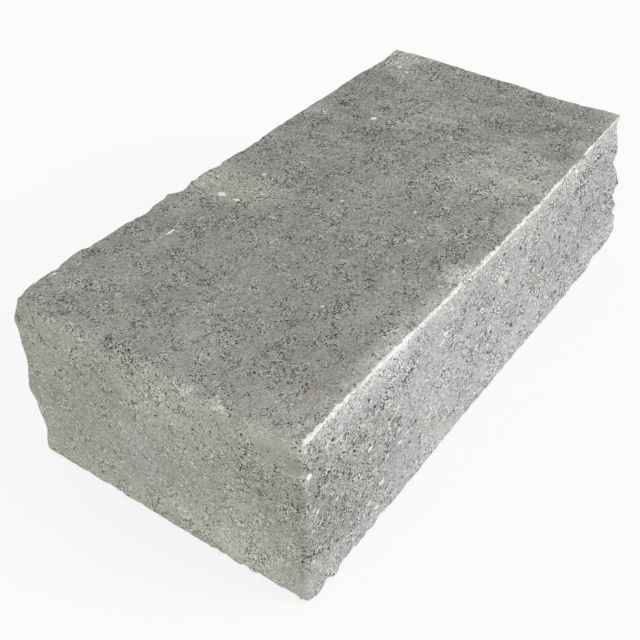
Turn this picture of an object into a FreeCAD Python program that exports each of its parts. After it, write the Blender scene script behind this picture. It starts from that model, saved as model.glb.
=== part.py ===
"""Retaining wall block: one solid of cast concrete, split along its long front face.

The origin is the middle of the bottom bed. +X runs along the length from the near end to the far
end, +Y from the split front face to the back, and +Z up. Lengths are in millimetres.
"""

import FreeCAD, Part
import Sketcher
import math
import os

NODE = "wall_block"

# Cutting shapes run this far past the faces that they cut.
OVERRUN = 12.0

# Points this close to a face count as lying on it.
TOUCH = 1.0

# A face looks along a direction that lies within this angle of its normal, in degrees.
FACING_DEGREES = 25.0

SIZES = {
    # along the bottom bed at the back, end to end
    "length": 308.0,
    # from the foremost concrete of the front face to the back
    "depth": 152.0,
    # from the bottom bed to the top bed
    "height": 89.0,
    # how far the top of each end stands in from its foot
    "near_end_lean": 1.5,
    "far_end_lean": 7.5,
    # how much shorter the block is along its front than along its back
    "far_end_skew": 5.0,
    # rounding that the mould leaves round the ends and the back
    "moulded_arris_radius": 1.6,
}

# The split face, at stations spread evenly from the near end to the far end: how far its top and
# bottom arris lie behind the foremost plane, and how far the face between them stands proud.
SPLIT_FACE = {
    "split_top": (1.2, 2.2, 1.6, 3.4, 5.4),
    "split_belly": (0.6, 1.2, 0.8, 1.6, 2.0),
    "split_bottom": (1.6, 1.4, 2.2, 2.0, 2.6),
}
STATIONS = len(SPLIT_FACE["split_top"])

# Scoops broken out of the arrises and corners. Each has its place along an arris, where it isn't at
# a corner, the radius of its hollow, and how deep it bites into the arris.
CHIPS = {
    "front_arris_chip": {"along": 120.0, "radius": 14.0, "bite": 2.2},
    "back_arris_chip": {"along": 81.0, "radius": 14.0, "bite": 2.0},
    "back_arris_spall": {"along": 107.0, "radius": 18.0, "bite": 2.6},
    "far_arris_scallop": {"along": 72.0, "radius": 46.0, "bite": 4.2},
    "far_arris_low_scallop": {"along": 36.0, "radius": 18.0, "bite": 1.8},
    "far_foot_chip": {"radius": 24.0, "bite": 2.6},
    "near_foot_chip": {"radius": 40.0, "bite": 1.6},
    "back_top_corner_chip": {"radius": 40.0, "bite": 1.8},
}


def make_sheet(doc):
    """Spreadsheet of the driving sizes, one named cell to a row."""
    sheet = doc.addObject("Spreadsheet::Sheet", "Sizes")
    values = dict(SIZES)
    for name, offsets in SPLIT_FACE.items():
        for station, offset in enumerate(offsets):
            values[f"{name}_at_{station}"] = offset
    for chip, measures in CHIPS.items():
        for measure, value in measures.items():
            values[f"{chip}_{measure}"] = value
    for row, (name, value) in enumerate(values.items(), start=1):
        sheet.set(f"A{row}", name)
        sheet.set(f"B{row}", str(value))
        sheet.setAlias(f"B{row}", name)
    doc.recompute()
    return sheet


def formula(terms):
    """Expression for a sum of named sizes; terms maps a size's name to its factor."""
    return " + ".join(f"{factor} * Sizes.{name}" for name, factor in terms.items())


def amount(sheet, terms):
    """Present value of the same sum."""
    return sum(factor * float(sheet.get(name)) for name, factor in terms.items())


def origin_plane(body, role):
    """One of the body's own base planes."""
    return next(plane for plane in body.Origin.OriginFeatures if plane.Role == role)


def add_sketch(body, name, role):
    """Sketch on one of the body's base planes."""
    sketch = body.newObject("Sketcher::SketchObject", name)
    sketch.AttachmentSupport = [(origin_plane(body, role), "")]
    sketch.MapMode = "FlatFace"
    return sketch


def bind_point(sketch, geometry, end, place, sheet):
    """Hold a point of the sketch at a place given as two sums of sizes and a fixed overrun."""
    for direction, (terms, fixed) in zip(("DistanceX", "DistanceY"), place):
        value = amount(sheet, terms) + fixed
        index = sketch.addConstraint(Sketcher.Constraint(direction, geometry, end, value))
        sketch.setExpression(f"Constraints[{index}]", f"{formula(terms)} + {fixed}")


def point_at(place, sheet):
    """Present position of such a place."""
    x, y = (amount(sheet, terms) + fixed for terms, fixed in place)
    return FreeCAD.Vector(x, y, 0)


def add_outline(sketch, places, sheet, bulge=None):
    """Closed outline through the places; bulge is a place that its last side passes as an arc."""
    points = [point_at(place, sheet) for place in places]
    count = len(points)
    for index in range(count):
        start, end = points[index], points[(index + 1) % count]
        if bulge and index == count - 1:
            sketch.addGeometry(Part.Arc(start, point_at(bulge, sheet), end), False)
        else:
            sketch.addGeometry(Part.LineSegment(start, end), False)
    for index in range(count):
        sketch.addConstraint(Sketcher.Constraint("Coincident", index, 2, (index + 1) % count, 1))
        bind_point(sketch, index, 1, places[index], sheet)
    if bulge:
        middle = sketch.addGeometry(Part.Point(point_at(bulge, sheet)), True)
        bind_point(sketch, middle, 1, bulge, sheet)
        sketch.addConstraint(Sketcher.Constraint("PointOnObject", middle, 1, count - 1))


def faces_facing(shape, direction):
    """Names of the flat faces whose outward normal lies near a direction."""
    names = []
    for index, face in enumerate(shape.Faces, start=1):
        if face.normalAt(0, 0).getAngle(FreeCAD.Vector(*direction)) < math.radians(FACING_DEGREES):
            names.append(f"Face{index}")
    return names


def cast_block(doc, body, sheet):
    """Block as it leaves the mould: a plan with a skewed far end, raised and drafted at both ends."""
    plan = add_sketch(body, "BedPlan", "XY_Plane")
    near, back, front = {"length": -0.5}, {"depth": 0.5}, {"depth": -0.5}
    far_front = {"length": 0.5, "far_end_skew": -1}
    corners = [(near, front), (far_front, front), ({"length": 0.5}, back), (near, back)]
    add_outline(plan, [((x, 0), (y, 0)) for x, y in corners], sheet)
    pad = body.newObject("PartDesign::Pad", "Casting")
    pad.Profile = plan
    pad.setExpression("Length", "Sizes.height")
    doc.recompute()
    solid = pad
    for end, direction in (("near_end", (-1, 0, 0)), ("far_end", (1, 0, 0))):
        draft = body.newObject("PartDesign::Draft", f"{end}_draft")
        draft.Base = (solid, faces_facing(solid.Shape, direction))
        draft.NeutralPlane = (origin_plane(body, "XY_Plane"), [""])
        draft.setExpression("Angle", f"atan(Sizes.{end}_lean / Sizes.height)")
        doc.recompute()
        solid = draft
    return solid


def round_moulded_arrises(doc, body, solid, sheet):
    """Soft arrises round both ends and the back, everywhere but on the front face."""
    front = -float(sheet.get("depth")) / 2
    names = []
    for index, edge in enumerate(solid.Shape.Edges, start=1):
        if max(vertex.Y for vertex in edge.Vertexes) > front + TOUCH:
            names.append(f"Edge{index}")
    fillet = body.newObject("PartDesign::Fillet", "MouldedArrises")
    fillet.Base = (solid, names)
    fillet.setExpression("Radius", "Sizes.moulded_arris_radius")
    doc.recompute()


def split_section(body, sheet, station):
    """Outline of the waste in front of the split at one station along the block."""
    sketch = add_sketch(body, f"SplitSection{station}", "YZ_Plane")
    share = station / (STATIONS - 1) - 0.5
    past_end = {0: -OVERRUN, STATIONS - 1: OVERRUN}.get(station, 0)
    sketch.setExpression("AttachmentOffset.Base.z", f"{share} * Sizes.length + {past_end}")
    top = {"depth": -0.5, f"split_top_at_{station}": 1}
    bottom = {"depth": -0.5, f"split_bottom_at_{station}": 1}
    proud = {
        "depth": -0.5,
        f"split_top_at_{station}": 0.5,
        f"split_bottom_at_{station}": 0.5,
        f"split_belly_at_{station}": -1,
    }
    outer, full, none = {"depth": -0.5}, {"height": 1}, {"height": 0}
    places = [
        ((bottom, 0), (none, 0)),
        ((bottom, 0), (none, -OVERRUN)),
        ((outer, -OVERRUN), (none, -OVERRUN)),
        ((outer, -OVERRUN), (full, OVERRUN)),
        ((top, 0), (full, OVERRUN)),
        ((top, 0), (full, 0)),
    ]
    add_outline(sketch, places, sheet, bulge=((proud, 0), ({"height": 0.5}, 0)))
    return sketch


def split_front(doc, body, sheet):
    """Break the front away along a face that waves along the block and stands proud between the beds."""
    sections = [split_section(body, sheet, station) for station in range(STATIONS)]
    doc.recompute()
    loft = body.newObject("PartDesign::SubtractiveLoft", "SplitFace")
    loft.Profile = sections[0]
    loft.Sections = sections[1:]
    doc.recompute()


def add_chip(doc, body, name, corner, outward):
    """Scoop a hollow out of an arris or corner.

    corner gives the sums of sizes for the point of the arris, and outward the signs of the
    directions that lead out of the concrete there, 0 along the arris.
    """
    chip = body.newObject("PartDesign::SubtractiveSphere", name)
    chip.setExpression("Radius", f"Sizes.{name}_radius")
    reach = sum(abs(sign) for sign in outward) ** -0.5
    for axis, terms, sign in zip("xyz", corner, outward):
        stand_off = {f"{name}_radius": sign * reach, f"{name}_bite": -sign * reach}
        chip.setExpression(f"Placement.Base.{axis}", formula({**terms, **stand_off}))
    doc.recompute()


def chip_arrises(doc, body):
    """All the broken arrises and corners."""
    front, back, foot, top = {"depth": -0.5}, {"depth": 0.5}, {"height": 0}, {"height": 1}
    near, middle, far = 0, STATIONS // 2, STATIONS - 1
    near_foot = {"length": -0.5}
    far_foot = {"length": 0.5, "far_end_skew": -1}
    split_top = {**front, f"split_top_at_{middle}": 1}
    far_split = {**front, f"split_top_at_{far}": 0.5, f"split_bottom_at_{far}": 0.5}
    far_middle = {**far_foot, "far_end_lean": -0.5}
    near_top = {"length": -0.5, "near_end_lean": 1}
    places = {
        "front_arris_chip": (({**near_foot, "front_arris_chip_along": 1}, split_top, top), (0, -1, 1)),
        "back_arris_chip": (({**near_foot, "back_arris_chip_along": 1}, back, top), (0, 1, 1)),
        "back_arris_spall": (({**near_foot, "back_arris_spall_along": 1}, back, top), (0, 1, 1)),
        "far_arris_scallop": ((far_middle, far_split, {"far_arris_scallop_along": 1}), (1, -1, 0)),
        "far_arris_low_scallop": ((far_middle, far_split, {"far_arris_low_scallop_along": 1}), (1, -1, 0)),
        "far_foot_chip": ((far_foot, {**front, f"split_bottom_at_{far}": 1}, foot), (1, -1, -1)),
        "near_foot_chip": ((near_foot, {**front, f"split_bottom_at_{near}": 1}, foot), (-1, -1, -1)),
        "back_top_corner_chip": ((near_top, back, top), (-1, 1, 1)),
    }
    for name, (corner, outward) in places.items():
        add_chip(doc, body, name, corner, outward)


def check(doc, body):
    """Stop if any object failed, or the finished solid isn't one sound solid."""
    doc.recompute()
    for item in doc.Objects:
        if {"Invalid", "Error"} & set(item.State):
            raise RuntimeError(f"{item.Name} failed: {item.State}")
    shape = body.Shape
    if shape.isNull() or not shape.isValid() or len(shape.Solids) != 1:
        raise RuntimeError(f"{body.Label} is not one sound solid")
    volumes = [item.Shape.Volume for item in body.Group if hasattr(item, "AddSubShape")]
    for before, after in zip(volumes, volumes[1:]):
        if after >= before:
            raise RuntimeError("a cut took nothing away")


def main():
    """Build the block and write its solid."""
    doc = FreeCAD.newDocument("RetainingWallBlock")
    sheet = make_sheet(doc)
    body = doc.addObject("PartDesign::Body", "Block")
    body.Label = NODE
    body.Placement = FreeCAD.Placement()
    solid = cast_block(doc, body, sheet)
    round_moulded_arrises(doc, body, solid, sheet)
    split_front(doc, body, sheet)
    chip_arrises(doc, body)
    check(doc, body)
    os.makedirs("parts", exist_ok=True)
    body.Shape.exportStep(f"parts/{NODE}.step")
    box = body.Shape.optimalBoundingBox(False)
    print(f"{NODE}: {box.XLength:.1f} x {box.YLength:.1f} x {box.ZLength:.1f} mm, "
          f"{body.Shape.Volume / 1000:.1f} cm3, {len(body.Shape.Faces)} faces")


main()
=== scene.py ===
"""Looks of a cast concrete retaining wall block, laid over its CAD frame.

The block is one piece. Its front was split off, its top and foot are pressed beds, and its two ends and
back were cast against a mould. A fine grid is laid on the CAD solid, roughened for each kind of face,
pitted, and chipped along its arrises, and one concrete finish is mixed over it from three skins.
"""

import logging
import math
import random
from collections.abc import Callable
from dataclasses import dataclass, fields
from enum import Enum

import bmesh
import bpy
from mathutils import Matrix, Vector, noise
from mathutils.bvhtree import BVHTree
from mathutils.kdtree import KDTree


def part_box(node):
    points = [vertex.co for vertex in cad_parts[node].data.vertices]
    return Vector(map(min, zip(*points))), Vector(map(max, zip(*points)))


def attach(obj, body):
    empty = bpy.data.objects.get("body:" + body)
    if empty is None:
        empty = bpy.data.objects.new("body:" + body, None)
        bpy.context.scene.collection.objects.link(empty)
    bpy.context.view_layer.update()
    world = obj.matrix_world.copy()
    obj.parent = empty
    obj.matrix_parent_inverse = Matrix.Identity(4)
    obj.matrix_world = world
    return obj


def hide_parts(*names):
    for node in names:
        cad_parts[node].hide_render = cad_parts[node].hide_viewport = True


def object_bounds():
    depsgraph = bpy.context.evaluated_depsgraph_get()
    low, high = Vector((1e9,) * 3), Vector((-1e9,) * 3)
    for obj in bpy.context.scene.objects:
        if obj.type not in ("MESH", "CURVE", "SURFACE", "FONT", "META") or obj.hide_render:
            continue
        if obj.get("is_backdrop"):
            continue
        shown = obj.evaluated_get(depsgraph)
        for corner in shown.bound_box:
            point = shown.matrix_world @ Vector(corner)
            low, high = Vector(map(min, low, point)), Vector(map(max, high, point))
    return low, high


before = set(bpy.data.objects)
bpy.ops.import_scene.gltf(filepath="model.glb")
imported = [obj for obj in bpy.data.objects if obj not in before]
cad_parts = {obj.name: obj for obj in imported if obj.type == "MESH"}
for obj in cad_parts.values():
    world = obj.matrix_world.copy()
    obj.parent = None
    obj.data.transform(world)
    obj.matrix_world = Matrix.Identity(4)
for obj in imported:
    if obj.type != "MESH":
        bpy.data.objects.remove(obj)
CAD_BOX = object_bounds()

LOG = logging.getLogger("wall_block")
MM = 0.001

Colour = tuple[float, float, float, float]
Triple = tuple[float, float, float]
Wire = bpy.types.NodeSocket
Feed = Wire | float | Colour | Triple
WHITE: Colour = (1.0, 1.0, 1.0, 1.0)


def seen(red: int, green: int, blue: int) -> Colour:
    """Turns a colour as it is seen on a screen into the linear colour that a shader takes.

    Args:
        red: Red from 0 to 255.
        green: Green from 0 to 255.
        blue: Blue from 0 to 255.

    Returns:
        The linear colour, opaque.
    """
    linear = []
    for channel in (red, green, blue):
        share = channel / 255
        linear.append(share / 12.92 if share <= 0.04045 else ((share + 0.055) / 1.055) ** 2.4)
    return (linear[0], linear[1], linear[2], 1.0)


class Arris(Enum):
    """The twelve arrises, each named by its two faces; the values point outwards along X, Y and Z."""

    FRONT_TOP = (0, -1, 1)
    FRONT_FOOT = (0, -1, -1)
    BACK_TOP = (0, 1, 1)
    BACK_FOOT = (0, 1, -1)
    NEAR_TOP = (-1, 0, 1)
    NEAR_FOOT = (-1, 0, -1)
    FAR_TOP = (1, 0, 1)
    FAR_FOOT = (1, 0, -1)
    NEAR_FRONT = (-1, -1, 0)
    NEAR_BACK = (-1, 1, 0)
    FAR_FRONT = (1, -1, 0)
    FAR_BACK = (1, 1, 0)

    def run(self) -> int:
        """The axis that the arris runs along."""
        return self.value.index(0)


class Face(Enum):
    """The six faces, each by the way it looks along X, Y and Z."""

    NEAR = (-1, 0, 0)
    FAR = (1, 0, 0)
    FRONT = (0, -1, 0)
    BACK = (0, 1, 0)
    FOOT = (0, 0, -1)
    TOP = (0, 0, 1)


class Mark(Enum):
    """What each point of the block's mesh carries for its finish, with distances in millimetres.

    A lead is how far a point lies inside the faces of one kind, and is negative outside them. Fresh and
    hollow are shares from 0 to 1, and the finish paints shade into the hollow share. The last three are
    distances from an arris.
    """

    BED = "bed_lead"
    SPLIT = "split_lead"
    FRESH = "fresh"
    HOLLOW = "hollow"
    FRONT_TOP = "front_top"
    NEAR_TOP = "near_top"
    NEAR_FRONT = "near_front"


@dataclass(frozen=True)
class Relief:
    """How uneven one kind of face is, as noise in several octaves."""

    wave: float
    height: float
    octaves: int
    fall: float

    def at(self, place: Vector) -> float:
        """Height of the face at a place, in metres."""
        return self.height * noise.fractal(place / self.wave, self.fall, 2.0, self.octaves)


@dataclass(frozen=True)
class Chips:
    """Small chips broken out of one arris: how many, how large, how deep, and how fresh they look."""

    arris: Arris
    per_metre: float
    reach: tuple[float, float]
    bite: tuple[float, float]
    fresh: float


@dataclass(frozen=True)
class Bite:
    """One bite out of an arris, in millimetres: where along it, its half length, its radius and depth."""

    arris: Arris
    along: float
    half: float
    radius: float
    depth: float
    fresh: float


@dataclass(frozen=True)
class Pits:
    """Small holes that air and stones left in one face."""

    face: Face
    per_square_metre: float
    radius: tuple[float, float]
    bite: tuple[float, float]


@dataclass(frozen=True)
class Worn:
    """An arris that wear has rounded: its mean radius, how far that varies, and over what length."""

    arris: Arris
    radius: float
    vary: float
    wave: float

    def radius_at(self, place: Vector) -> float:
        """Radius of the rounding at a place, in metres."""
        return max(0.0, self.radius + self.vary * noise.noise(place / self.wave))


@dataclass(frozen=True)
class Swell:
    """A soft swelling of the block, or a hollow: its middle, its reach and how far its middle moves."""

    place: Triple
    reach: float
    move: Triple

    def at(self, place: Vector) -> Vector:
        """How far the block moves at a place, in metres."""
        away = (place - Vector(self.place) * MM).length / (self.reach * MM)
        return Vector(self.move) * MM * max(0.0, 1.0 - away ** 2) ** 2


@dataclass
class WallBlock:
    """The cast block: a fine grid on the CAD solid, roughened, pitted and chipped."""

    node: str = "wall_block"
    body: str = "root"
    slot: str = "concrete"
    face_step: float = 1.48 * MM
    arris_step: float = 0.72 * MM
    arris_band: float = 6.0 * MM
    blend: float = 1.4 * MM
    probe_margin: float = 6.0 * MM
    ragged_wave: float = 2.6 * MM
    ragged: float = 0.2
    depth_probes: tuple[float, float] = (0.3, 0.7)
    height_probes: tuple[float, float] = (0.35, 0.8)
    chip_slant: tuple[float, float] = (0.5, 1.0)
    chip_width: tuple[float, float] = (0.7, 1.0)
    chip_length: tuple[float, float] = (1.0, 1.8)
    chip_bite_limit: float = 0.6
    seed: int = 7
    split_relief: Relief = Relief(wave=8 * MM, height=0.34 * MM, octaves=2, fall=0.3)
    bed_relief: Relief = Relief(wave=9 * MM, height=0.22 * MM, octaves=2, fall=0.3)
    mould_relief: Relief = Relief(wave=14 * MM, height=0.22 * MM, octaves=3, fall=0.6)
    worn: tuple[Worn, ...] = (
        Worn(Arris.NEAR_TOP, 4.2 * MM, 3.4 * MM, 13 * MM),
        Worn(Arris.NEAR_FRONT, 3.2 * MM, 1.8 * MM, 11 * MM),
        Worn(Arris.FRONT_TOP, 0.8 * MM, 0.8 * MM, 6 * MM),
        Worn(Arris.FRONT_FOOT, 0.5 * MM, 0.5 * MM, 7 * MM),
        Worn(Arris.BACK_TOP, 1.2 * MM, 1.0 * MM, 9 * MM),
        Worn(Arris.NEAR_BACK, 2.0 * MM, 1.2 * MM, 9 * MM),
        Worn(Arris.NEAR_FOOT, 1.8 * MM, 1.2 * MM, 9 * MM),
        Worn(Arris.FAR_FRONT, 1.2 * MM, 1.0 * MM, 7 * MM),
    )
    swells: tuple[Swell, ...] = (
        Swell((-153, 76, 40), 11, (-1.3, 1.3, 0)),
        Swell((-153, 76, 17), 14, (0.8, -0.8, 0)),
        Swell((-153, 75, 78), 9, (-0.7, 0.7, 0)),
        Swell((-153, 76, 89), 14, (0.8, -1.6, -0.8)),
        Swell((-114, 76, 89), 14, (0, 1.2, 0.3)),
        Swell((-54, 76, 89), 5, (0, 1.6, 0)),
        Swell((4, 76, 89), 34, (0, -1.1, -0.2)),
        Swell((130, 76, 89), 24, (0, -1.8, -0.3)),
        Swell((80, 76, 89), 90, (0, -0.6, -0.4)),
        Swell((147, 55, 89), 45, (1.2, 0, 0.4)),
        Swell((143, -38, 89), 32, (-0.9, 0, -0.6)),
        Swell((143, -74, 79), 9, (-1.0, 1.4, 0)),
        Swell((141, -71, 83), 6, (-0.8, 1.2, 0)),
        Swell((139.5, -73.5, 61), 6, (-2.0, 2.4, 0)),
        Swell((147, -74, 46), 5, (1.4, -1.4, 0)),
        Swell((141, -74.5, 33), 7, (1.6, -1.8, 0)),
        Swell((149, -74, 14), 20, (1.8, -1.8, 0)),
        Swell((138, -74, 0), 18, (-0.5, 1.8, 0.8)),
        Swell((-134.5, -74, 0), 5, (0, -1.2, 0)),
        Swell((-147, -74, 0), 10, (0, -1.0, 0)),
        Swell((-152, -70, 0), 7, (0.9, 0, 0.3)),
        Swell((-152, -58, 0), 15, (0.8, 0, 0.5)),
    )
    chips: tuple[Chips, ...] = (
        Chips(Arris.FRONT_TOP, 70, (1.0 * MM, 3.0 * MM), (0.1 * MM, 0.6 * MM), 0.8),
        Chips(Arris.FRONT_FOOT, 150, (1.5 * MM, 4.0 * MM), (0.1 * MM, 0.8 * MM), 0.2),
        Chips(Arris.BACK_TOP, 130, (1.2 * MM, 4.0 * MM), (0.2 * MM, 1.2 * MM), 0.5),
        Chips(Arris.BACK_FOOT, 110, (1.2 * MM, 5.0 * MM), (0.2 * MM, 1.0 * MM), 0.4),
        Chips(Arris.NEAR_TOP, 90, (1.2 * MM, 3.5 * MM), (0.2 * MM, 0.8 * MM), 0.5),
        Chips(Arris.NEAR_FOOT, 140, (1.2 * MM, 4.5 * MM), (0.2 * MM, 1.1 * MM), 0.5),
        Chips(Arris.FAR_TOP, 150, (1.2 * MM, 4.0 * MM), (0.2 * MM, 1.2 * MM), 0.7),
        Chips(Arris.FAR_FOOT, 110, (1.2 * MM, 5.0 * MM), (0.2 * MM, 1.0 * MM), 0.4),
        Chips(Arris.NEAR_FRONT, 90, (1.0 * MM, 3.5 * MM), (0.1 * MM, 0.7 * MM), 0.15),
        Chips(Arris.NEAR_BACK, 110, (1.2 * MM, 4.5 * MM), (0.1 * MM, 0.8 * MM), 0.4),
        Chips(Arris.FAR_FRONT, 130, (1.2 * MM, 4.5 * MM), (0.2 * MM, 1.0 * MM), 0.5),
        Chips(Arris.FAR_BACK, 110, (1.2 * MM, 4.5 * MM), (0.2 * MM, 0.9 * MM), 0.4),
    )
    bites: tuple[Bite, ...] = (
        Bite(Arris.FRONT_FOOT, -140, 3.2, 3.4, 1.9, 0.15),
        Bite(Arris.FRONT_FOOT, -127.5, 3.0, 3.0, 1.0, 0.15),
        Bite(Arris.FRONT_FOOT, -120.5, 2.4, 3.0, 1.9, 0.15),
        Bite(Arris.FRONT_FOOT, -108.5, 2.8, 3.0, 1.5, 0.15),
        Bite(Arris.FRONT_FOOT, -99, 3.0, 3.2, 2.1, 0.15),
        Bite(Arris.FRONT_FOOT, -77, 2.6, 3.0, 1.5, 0.15),
        Bite(Arris.FRONT_FOOT, -53, 3.0, 3.0, 1.0, 0.15),
        Bite(Arris.NEAR_FOOT, -64, 2.4, 3.4, 1.8, 0.7),
        Bite(Arris.NEAR_FOOT, -52, 2.6, 3.0, 1.2, 0.7),
        Bite(Arris.NEAR_FOOT, -44.5, 2.8, 3.4, 2.0, 0.7),
        Bite(Arris.NEAR_FOOT, -29, 3.0, 3.0, 1.2, 0.6),
        Bite(Arris.FAR_TOP, -28, 3.4, 3.6, 2.4, 0.6),
        Bite(Arris.FAR_TOP, -20, 4.0, 3.4, 1.2, 0.6),
        Bite(Arris.FAR_TOP, 24, 3.0, 3.0, 1.0, 0.6),
    )
    pits: tuple[Pits, ...] = (
        Pits(Face.TOP, 500, (1.3 * MM, 2.2 * MM), (0.3 * MM, 0.7 * MM)),
        Pits(Face.FRONT, 2600, (1.2 * MM, 2.2 * MM), (0.4 * MM, 0.9 * MM)),
        Pits(Face.NEAR, 700, (1.3 * MM, 2.2 * MM), (0.3 * MM, 0.7 * MM)),
        Pits(Face.FAR, 1600, (1.4 * MM, 2.6 * MM), (0.3 * MM, 0.7 * MM)),
        Pits(Face.BACK, 1800, (1.4 * MM, 2.6 * MM), (0.3 * MM, 0.7 * MM)),
        Pits(Face.FOOT, 2200, (1.4 * MM, 2.8 * MM), (0.3 * MM, 0.7 * MM)),
    )

    def build(self, finish: bpy.types.Material) -> bpy.types.Object:
        """Builds the block's mesh and dresses it.

        Args:
            finish: The concrete that the whole block is cast in.

        Returns:
            The finished block, riding on its CAD body.
        """
        grid = self.lay_grid()
        self.shape(grid)
        for worn in self.worn:
            self.round_arris(grid, worn)
        for vert in grid.verts:
            vert.co += sum((swell.at(vert.co) for swell in self.swells), Vector())
        self.roughen(grid)
        self.wear(grid)
        for vert in grid.verts:
            vert.co.z = max(vert.co.z, 0.0)
        bmesh.ops.recalc_face_normals(grid, faces=grid.faces)
        mesh = bpy.data.meshes.new("concrete_block")
        grid.to_mesh(mesh)
        grid.free()
        mesh.shade_smooth()
        mesh.materials.append(finish)
        block = bpy.data.objects.new("concrete_block", mesh)
        bpy.context.scene.collection.objects.link(block)
        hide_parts(self.node)
        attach(block, self.body)
        return block

    def __post_init__(self) -> None:
        """Reads the CAD solid and its box once."""
        self.low, self.high = (Vector(corner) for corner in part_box(self.node))
        self.solid = BVHTree.FromObject(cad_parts[self.node], bpy.context.evaluated_depsgraph_get())
        self.near_end = self.end_plane(Face.NEAR)
        self.far_end = self.end_plane(Face.FAR)

    def sides(self) -> Vector:
        """Length, depth and height of the CAD solid's box."""
        return self.high - self.low

    def fine_cells(self) -> int:
        """Number of the finer grid cells at each end of a side."""
        return round(self.arris_band / self.arris_step)

    def cells(self, side: float) -> int:
        """Number of grid cells along a side, with the finer ones at both ends."""
        return 2 * self.fine_cells() + round((side - 2 * self.arris_band) / self.face_step)

    def box_point(self, way: tuple[int, int, int]) -> Vector:
        """Middle of the face or arris of the CAD box that looks that way."""
        ends = {-1: self.low, 0: 0.5 * (self.low + self.high), 1: self.high}
        return Vector([ends[way[axis]][axis] for axis in range(3)])

    def graded(self, share: float, side: float) -> float:
        """Moves an even share of a side so that the grid is finer near the arrises.

        Args:
            share: Place along the side in even steps, from 0 to 1.
            side: Length of the side in metres.

        Returns:
            The graded share, from 0 to 1.
        """
        fine = self.fine_cells() / self.cells(side)
        band = self.arris_band / side
        if share <= fine:
            return share / fine * band
        if share >= 1 - fine:
            return 1 - (1 - share) / fine * band
        return band + (share - fine) / (1 - 2 * fine) * (1 - 2 * band)

    def lay_grid(self) -> bmesh.types.BMesh:
        """Cuts a unit cube into a grid that is finer near the arrises.

        Returns:
            The grid, with each coordinate a share of the block's side.
        """
        sides = self.sides()
        grid = bmesh.new()
        bmesh.ops.create_cube(grid, size=1.0)
        bmesh.ops.translate(grid, verts=grid.verts, vec=(0.5, 0.5, 0.5))
        for axis in range(3):
            along = [edge for edge in grid.edges if abs((edge.verts[1].co - edge.verts[0].co)[axis]) > 0.5]
            cuts = self.cells(sides[axis]) - 1
            bmesh.ops.subdivide_edges(grid, edges=along, cuts=cuts, use_grid_fill=True)
        for vert in grid.verts:
            vert.co = Vector([self.graded(vert.co[axis], sides[axis]) for axis in range(3)])
        return grid

    def shape(self, grid: bmesh.types.BMesh) -> None:
        """Marks each point with the faces and arrises that it is near, and lays it on the CAD solid.

        Args:
            grid: The grid in shares of the block's sides.
        """
        layer = {mark: grid.verts.layers.float.new(mark.value) for mark in Mark}
        sides = self.sides()
        for vert in grid.verts:
            share = vert.co.copy()
            start = [share[axis] * sides[axis] for axis in range(3)]
            stop = [(1 - share[axis]) * sides[axis] for axis in range(3)]
            gap = [min(start[axis], stop[axis]) for axis in range(3)]
            vert[layer[Mark.BED]] = (min(gap[0], gap[1]) - gap[2]) / MM
            vert[layer[Mark.SPLIT]] = (min(gap[0], gap[2]) - start[1]) / MM
            vert[layer[Mark.FRONT_TOP]] = (start[1] + stop[2]) / MM
            vert[layer[Mark.NEAR_TOP]] = (start[0] + stop[2]) / MM
            vert[layer[Mark.NEAR_FRONT]] = (start[0] + start[1]) / MM
            place = self.low + Vector(start)
            first = self.near_end(place.y, place.z)
            place.x = first + share.x * (self.far_end(place.y, place.z) - first)
            front = self.front_at(place)
            place.y = front + share.y * (self.high.y - front)
            vert.co = self.solid.find_nearest(place)[0]

    def face_share(self, lead: float) -> float:
        """How far a point belongs to a face, from 0 to 1, by its lead over the faces beside it."""
        return min(1.0, max(0.0, 0.5 + 0.5 * lead * MM / self.blend))

    def depth_in(self, place: Vector, axis: int, side: int) -> float:
        """How deep a place lies behind one face of the block.

        Args:
            place: A point of the block.
            axis: The axis that the face looks along.
            side: Which way it looks along that axis, -1 or 1.

        Returns:
            The depth in metres.
        """
        if axis == 0:
            plane = self.near_end if side < 0 else self.far_end
            return side * (plane(place.y, place.z) - place.x)
        if axis == 1 and side < 0:
            return place.y - self.front_at(place)
        return side * ((self.low if side < 0 else self.high)[axis] - place[axis])

    def round_arris(self, grid: bmesh.types.BMesh, worn: Worn) -> None:
        """Rounds one arris, by a radius that varies along it.

        Args:
            grid: The grid on the CAD solid.
            worn: The arris and its rounding.
        """
        sides = worn.arris.value
        first, second = (axis for axis in range(3) if sides[axis])
        for vert in grid.verts:
            radius = worn.radius_at(vert.co)
            over_second = radius - self.depth_in(vert.co, second, sides[second])
            if over_second <= 0:
                continue
            over_first = radius - self.depth_in(vert.co, first, sides[first])
            stand = math.hypot(over_first, over_second)
            if over_first > 0 and stand > radius:
                vert.co[first] -= sides[first] * over_first * (1 - radius / stand)
                vert.co[second] -= sides[second] * over_second * (1 - radius / stand)

    def end_plane(self, end: Face) -> Callable[[float, float], float]:
        """Finds the plane of one end from three probes, away from its chipped arrises.

        Args:
            end: The near or the far end.

        Returns:
            A function that gives the plane's X at a Y and Z.
        """
        low, high = self.low, self.high
        inward = -Vector(end.value)
        outside = low.x - self.probe_margin if end is Face.NEAR else high.x + self.probe_margin
        sides = self.sides()
        y_probes = [low.y + share * sides.y for share in self.depth_probes]
        z_probes = [low.z + share * sides.z for share in self.height_probes]

        def probe(y: float, z: float) -> float:
            """X where a level line from outside meets the end."""
            return self.solid.ray_cast(Vector((outside, y, z)), inward)[0].x

        base = probe(y_probes[0], z_probes[0])
        skew = (probe(y_probes[1], z_probes[0]) - base) / (y_probes[1] - y_probes[0])
        lean = (probe(y_probes[0], z_probes[1]) - base) / (z_probes[1] - z_probes[0])

        def plane(y: float, z: float) -> float:
            """X of the end's plane."""
            return base + skew * (y - y_probes[0]) + lean * (z - z_probes[0])

        return plane

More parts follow.
